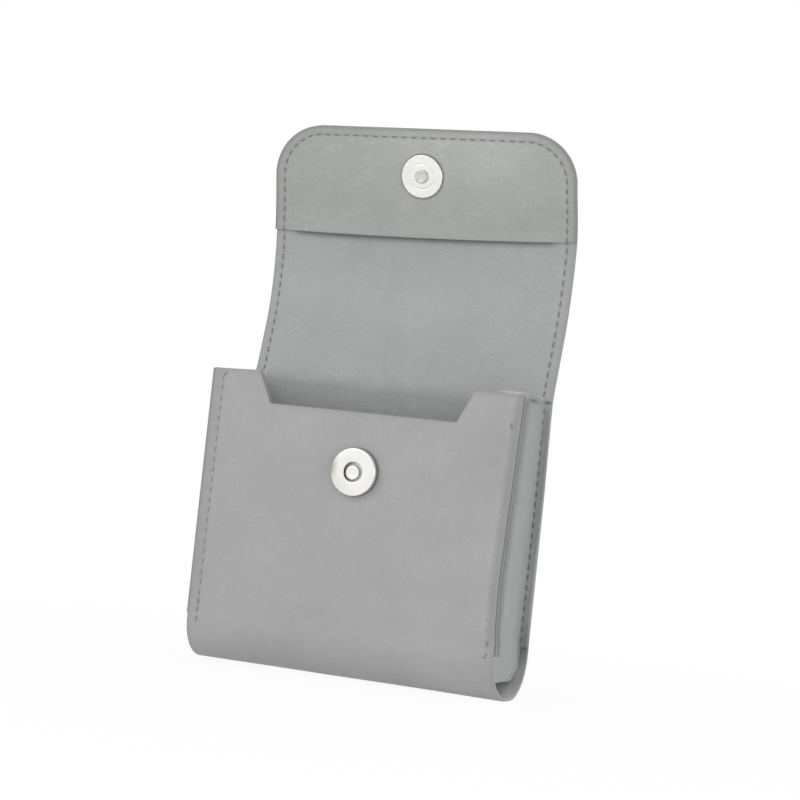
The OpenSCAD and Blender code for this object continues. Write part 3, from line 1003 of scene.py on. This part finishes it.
def make_gusset(hand, side):
    """One gusset. u is the length along its line from the front flange's edge, and z the height."""
    line, ends, length = gusset_line(FRONT_PROUD[hand])
    stops = [EDGE_R, *ends[:2], ends[1] + FRONT_CORNER_R, ends[2] - BACK_CORNER_R, *ends[2:], length - EDGE_R]
    u = spread(stops, [0.4, 0.2, 0.25, 0.8, 0.25, 0.2, 0.4])
    from_web = np.minimum(u - ends[0], ends[3] - u)
    front_half = u < (ends[1] + ends[2]) / 2
    turned = 1 - np.clip(from_web / np.where(front_half, FRONT_CORNER_R, BACK_CORNER_R), 0, 1)
    corner = WEB_FOOT + WEB_CORNER_H * (1 - np.sqrt(1 - turned ** 2))
    flange_low = np.where(front_half, FRONT_LOW, BACK_LOW)
    low = np.where(from_web > 0, np.minimum(corner, flange_low), flange_low) + EDGE_R
    top = GUSSET_TOP - EDGE_R + FLANGE_RISE[hand] * ease((ends[0] - u) / 0.8)
    z = low + (top - low) * spread([0, 1], [0.01])[:, None]

    def edge_of(u, z):
        return np.minimum(np.minimum(u, length - u), GUSSET_TOP - z)

    def place(u, z, off):
        x, y = line.point(u, off)
        on_web = ease(np.minimum(u - ends[0], ends[3] - u) / 6)
        back = ease((u - ends[1]) / (ends[2] - ends[1])) * np.clip((length - u) / (length - ends[3]), 0, 1)
        low_down, high_up = ease((TUCK_BELOW - z) / TUCK_FADE), ease((z - TUCK_ABOVE) / TUCK_FADE)
        tucked = FOOT_TUCK * back * low_down
        narrow = TOP_TUCK * high_up * ease((u - ends[3]) / 1.2)
        low_front = FRONT_TUCK[hand] * low_down * ease((ends[0] - u) / ends[0])
        x = side * (x + WEB_WAVE * np.sin(z / 19 + side) * on_web - tucked - narrow - low_front)
        return np.stack([x, y + twist(x, y, z), z + settle(x, z)], -1)

    node = f"{hand}_gusset"
    gusset = sheet_piece(node + "_web", (np.tile(u, (len(z), 1)), z), GUSSET, place, edge_of=edge_of)
    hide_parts(node)
    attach(gusset, "pouch")


# The stitches

def sewn_thread(seam, stitches, material):
    """Loops of twisted thread. Each stitch is its place on the strip, its direction there, the offset of the
    face that it lies on and which way that face looks."""
    along = np.linspace(-1, 1, THREAD_RINGS)[:, None]
    round_it = np.linspace(0, 2 * np.pi, THREAD_SIDES, endpoint=False)[None, :]
    lay = THREAD_PLIES * round_it + THREAD_LAY * along
    radius = THREAD_R * (1 + 0.12 * np.cos(lay)) * (1 - 0.3 * along ** 6)
    forward = along * STITCH_LEN / 2 + 0 * round_it
    sideways = radius * np.cos(round_it)
    height = 0.3 * THREAD_R - 1.9 * THREAD_R * along ** 4 + radius * np.sin(round_it)
    half = THREAD_SIDES // 2
    points, faces = [], []
    for k, (x, t, direction, face, looks) in enumerate(stitches):
        px = x + forward * sin(direction) + sideways * cos(direction)
        pt = t + forward * cos(direction) - sideways * sin(direction)
        points.append(on_case(px.ravel(), pt.ravel(), (face + looks * height).ravel()))
        number = np.arange(lay.size).reshape(lay.shape) + k * lay.size
        faces.append(strips(number, closed=True))
        for cap in (number[0], number[-1]):
            faces.append(strips(np.stack([cap[:half], cap[half:][::-1]])))
    marks = {"ply": np.tile(np.cos(lay).ravel(), len(stitches))}
    piece = mesh_piece(seam + "_thread", np.vstack(points), np.vstack(faces), material, marks)
    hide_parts(seam + "_stitches")
    return piece


def make_seam(panel, hand, inset, lengths, sunk, material, stray=()):
    """One of the pouch's seams, which shows on the leather and on the gusset's flange."""
    side = SIDES[hand]
    x = side * (HALF_W - inset)
    stitches = []
    for t in lengths:
        stitches.append((x, t, 0.02 * side, leather_outer(x, t) - sunk, 1))
        stitches.append((x, t, 0, FLANGE_FACE, -1))
    for stray_inset, height, turn in stray:
        x, t = side * (HALF_W - stray_inset), POCKET_H - height
        stitches.append((x, t, turn, leather_outer(x, t) + GAP, 1))
    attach(sewn_thread(f"{panel}_{hand}", stitches, material), "pouch")


def make_pouch_seams():
    lengths = np.arange(SEAM_TOP + STITCH_LEN / 2, FRONT_END - STITCH_LEN / 2, PITCH)
    for hand in SIDES:
        make_seam("front", hand, FRONT_INSET[hand], lengths, FRONT_SUNK[hand], sunk_thread, STRAY[hand])
        make_seam("back", hand, BACK_INSET, ROOT - lengths, 0, shaded_thread)


def flap_stops(t_from, t_to):
    """Stitches along the flap's two sides between two lengths."""
    lengths = np.arange(t_from, t_to, PITCH)
    return [(side * (HALF_W - FLAP_INSET), t, 0.03 * side) for t in lengths for side in SIDES.values()]


def round_stops():
    """Stitches round the flap's two corners and along its free edge."""
    stops = []
    r = CORNER_R - FLAP_INSET
    turns = round(r * pi / 2 / PITCH)
    for side in SIDES.values():
        for k in range(turns):
            angle = radians(90 * (k + 0.5) / turns)
            x = side * (CORNER_X + r * cos(angle))
            stops.append((x, CORNER_T + r * sin(angle), -side * angle))
    count = int(2 * CORNER_X / PITCH)
    for k in range(count):
        stops.append(((2 * k + 1 - count) * CORNER_X / count, TIP - FLAP_INSET, pi / 2 + 0.03))
    return stops


def both_faces(stops):
    """Stitches on the flap's outer face and on its inner one, the facing or else the lining."""
    stitches = []
    for x, t, direction in stops:
        inner = facing_inner if t > FACING_EDGE else lining_inner
        stitches.append((x, t, direction, leather_outer(x, t), 1))
        stitches.append((x, t, direction, inner(x, t), -1))
    return stitches


def make_flap_seams():
    half_pitch = PITCH / 2
    last = CORNER_T - half_pitch
    first = last - PITCH * int((last - ROOT - STITCH_LEN / 2) / PITCH)
    split = first + PITCH * round((SPLIT - first) / PITCH)
    lower = both_faces(flap_stops(first, split - half_pitch))
    bend_rear(sewn_thread("bridge", lower, seam_thread))
    upper = both_faces(flap_stops(split, last + half_pitch) + round_stops())
    bend_front(sewn_thread("flap", upper, seam_thread))


# The snap

def rounded(corners):
    """A profile with rounded corners, from points that each carry a radius."""
    profile = []
    places = np.array(corners, float)[:, :2]
    for k, (here, fillet) in enumerate(zip(places, [corner[2] for corner in corners])):
        if fillet == 0:
            profile.append(here)
            continue
        steps = [places[k - 1] - here, places[k + 1] - here]
        a, b = [here + step / np.linalg.norm(step) * fillet for step in steps]
        for share in np.linspace(0, 1, FILLET_STEPS):
            profile.append((1 - share) ** 2 * a + 2 * share * (1 - share) * here + share ** 2 * b)
    return profile


def lathe(name, corners, place, material):
    """A round piece from a profile of radii, heights and rounding radii. Radius 0 closes it."""
    angles = np.linspace(0, 2 * np.pi, LATHE_SIDES, endpoint=False)
    points, rings = [], []
    for radius, height in rounded(corners):
        count = 1 if radius == 0 else LATHE_SIDES
        rings.append(np.arange(LATHE_SIDES) % count + len(points))
        points += [(radius * cos(a), radius * sin(a), height) for a in angles[:count]]
    faces = [list(dict.fromkeys(face)) for face in strips(np.array(rings), closed=True).tolist()]
    placed = np.array(place, float)
    points = np.array(points) @ placed[:3, :3].T + placed[:3, 3]
    return mesh_piece(name, points, faces, material)


def place_at(origin, out, up):
    """A frame whose third axis points out of a face, in millimetres."""
    return Matrix([*zip(np.cross(up, out), up, out, origin), (0, 0, 0, 1)])


def on_front(x, z):
    """A frame on the front panel's face."""
    return place_at((x, -HALF_D, z), (0, -1, 0), (0, 0, 1))


def make_socket():
    """The socket's pressed cover with its rolled hole, and the core in it."""
    outer, hole = SOCKET_D / 2, SOCKET_HOLE_D / 2
    lip, foot = outer - COVER_LIP, outer - 0.4
    profile = [
        (lip, COVER_SKIRT, 0), (foot, COVER_SKIRT, 0.05), (foot, 0.3, 0.1), (outer, 0.75, 0.2),
        (outer, SOCKET_H, 0.5), (hole + 1.5, SOCKET_H + 0.03, 0.3), (hole, SOCKET_H - 0.02, 0.24),
        (hole, COVER_FLOOR, 0.08), (lip, COVER_FLOOR, 0.08), (lip, COVER_SKIRT, 0),
    ]
    cover = lathe("socket_cover_shell", profile, on_front(SOCKET_ASIDE, SNAP_Z), cover_nickel)
    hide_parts("socket_cover")
    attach(cover, "pouch")
    core = CORE_D / 2
    top = SOCKET_H - STUD_H - 0.05
    profile = [
        (0, 0.3, 0), (core, 0.3, 0.05), (core, top, 0.3), (core * 0.55, top + 0.02, 0.3),
        (core * 0.42, top - 0.07, 0.1), (0, top - 0.08, 0),
    ]
    place = on_front(SOCKET_ASIDE + CORE_ASIDE, SNAP_Z - CORE_DOWN)
    boss = lathe("socket_core_post", profile, place, nickel)
    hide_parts("socket_core")
    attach(boss, "pouch")


def make_stud():
    """The stud's plate with its raised rim and shallow rings, and the stud."""
    heading = radians(-TIP_SLANT)
    middle = (0, *side_line.point(ROOT + STUD_AT, -HALF_T - FACING_T))
    place = place_at(middle, (0, -cos(heading), sin(heading)), (0, sin(heading), cos(heading)))
    edge, stud, ring, floor = PLATE_D / 2, STUD_D / 2, PLATE_RING_R, PLATE_T - 0.12
    profile = [
        (0, -0.2, 0), (edge - 0.1, -0.2, 0.05), (edge, 0.1, 0.08), (edge, PLATE_T, 0.32),
        (edge - 1.0, PLATE_T, 0.1), (ring + 0.24, PLATE_T - 0.03, 0.08), (ring + 0.08, floor, 0.06),
        (ring - 0.1, floor, 0.06), (ring - 0.26, PLATE_T - 0.01, 0.08), (stud + 0.2, PLATE_T, 0.1),
        (0, PLATE_T, 0),
    ]
    plate = lathe("stud_plate_disc", profile, place, nickel)
    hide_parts("stud_plate")
    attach(plate, "flap_tip")
    neck, top = stud - 0.5, PLATE_T + STUD_H
    profile = [
        (0, PLATE_T - 0.3, 0), (neck, PLATE_T - 0.3, 0.02), (neck, PLATE_T + 0.25, 0.1),
        (stud, PLATE_T + 0.45, 0.1), (stud, top, 0.25), (1.5, top + 0.01, 0.3), (0.9, top - 0.2, 0.3),
        (0, top - 0.3, 0),
    ]
    post = lathe("stud_post_head", profile, place, worn_nickel)
    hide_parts("stud_post")
    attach(post, "flap_tip")


def make_socket_inside():
    """The magnet, bracket and washer, to one side as their cover is."""
    aside = Matrix.Translation((SOCKET_ASIDE * MM, 0, 0))
    parts = {"magnet": (magnet, "magnet"), "bracket": (zinc, "steel"), "washer": (zinc, "steel")}
    for part, (material, slot) in parts.items():
        node = "socket_" + part
        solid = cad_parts[node]
        mesh = solid.data.copy()
        mesh.transform(aside @ solid.matrix_world)
        paint(mesh, material)
        piece = add_object(node + "_inside", mesh)
        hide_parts(node)
        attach(piece, "pouch")


def finish_hidden_nodes():
    """The stud's inner parts stay as the frame has them, with their own material."""
    for node in ("stud_bracket", "stud_washer"):
        paint(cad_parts[node].data, zinc)


# The stage

def make_floor():
    """A pale floor that turns into the white background away from the object."""
    steps = np.linspace(-FLOOR_SIZE, FLOOR_SIZE, 61)
    x, y = np.meshgrid(steps, steps)
    points = np.column_stack([x.ravel(), y.ravel(), np.full(x.size, FLOOR_Z)])
    s = new_material("floor_paint")
    place = s.here()
    pale = s.mixed(s.ranged(s.noise(place, 40, 3.0), 0.3, 0.7), shade(WHITE, 0.93), shade(WHITE, 0.95))
    surface = s.surface(pale, 0.9, {"Specular IOR Level": 0.1})
    white = s.add("Emission", {"Color": WHITE, "Strength": 1.0})
    rays = s.add("LightPath", {})
    fade = s.ranged(s.vectors("LENGTH", place)["Value"], 0.06, 0.3, FLOOR_WHITE, 1)
    seen = s.maths("MAXIMUM", rays["Is Camera Ray"], rays["Is Glossy Ray"])
    glow = s.times(s.maths("SUBTRACT", 1, seen), FLOOR_GLOW)
    share = s.maths("ADD", s.times(fade, seen), glow)
    s.add("OutputMaterial", {"Surface": s.blended(share, surface, white["Emission"])})
    mesh = new_mesh("floor", points, strips(np.arange(x.size).reshape(x.shape)), s.owner)
    add_object("floor", mesh)


def make_world():
    """White for the camera, a shaded white for reflections and a plain fill for everything else."""
    world = bpy.data.worlds.new("studio")
    bpy.context.scene.world = world
    s = Shader(world)

    def background(strength):
        return s.add("Background", {"Color": WHITE, "Strength": strength})["Background"]

    rays = s.add("LightPath", {})
    seen = s.maths("MAXIMUM", rays["Is Camera Ray"], rays["Is Transmission Ray"])
    plain = s.blended(seen, background(WORLD_FILL), background(1.0))
    bright = s.vectors("DOT_PRODUCT", s.add("TexCoord", {})["Generated"], BRIGHT_SIDE)["Value"]
    mirrored = background(s.ranged(bright, -0.6, 0.4, WORLD_DIM, 1.0))
    s.add("OutputWorld", {"Surface": s.blended(rays["Is Glossy Ray"], plain, mirrored)})


def make_lamp(name, place, size, power):
    """A square soft box that looks at the object."""
    light = bpy.data.lights.new(name, "AREA")
    light.size = size
    light.energy = power
    lamp = add_object(name, light)
    lamp.location = place
    lamp.rotation_mode = "QUATERNION"
    lamp.rotation_quaternion = (Vector(LAMP_AIM) - Vector(place)).to_track_quat("-Z", "Y")


def make_camera():
    """The camera looks down, and is rolled, tipped up, turned and put in place."""
    data = bpy.data.cameras.new("camera")
    data.sensor_width = SENSOR_W
    data.lens = CAMERA_LENS
    camera = add_object("camera", data)
    camera.matrix_world = Matrix.Translation(CAMERA_PLACE)
    for angle, axis in ((CAMERA_YAW, "Z"), (pi / 2 - CAMERA_PITCH, "X"), (CAMERA_ROLL, "Z")):
        camera.matrix_world @= Matrix.Rotation(angle, 4, axis)
    bpy.context.scene.camera = camera


make_camera()
make_leather()
make_linings()
make_facing()
make_boards()
for hand, side in SIDES.items():
    make_gusset(hand, side)
make_pouch_seams()
make_flap_seams()
make_socket()
make_socket_inside()
make_stud()
finish_hidden_nodes()
make_floor()
make_world()
for name, (place, size, power) in LAMPS.items():
    make_lamp(name, place, size, power)

bpy.context.scene.view_settings.view_transform = "Standard"
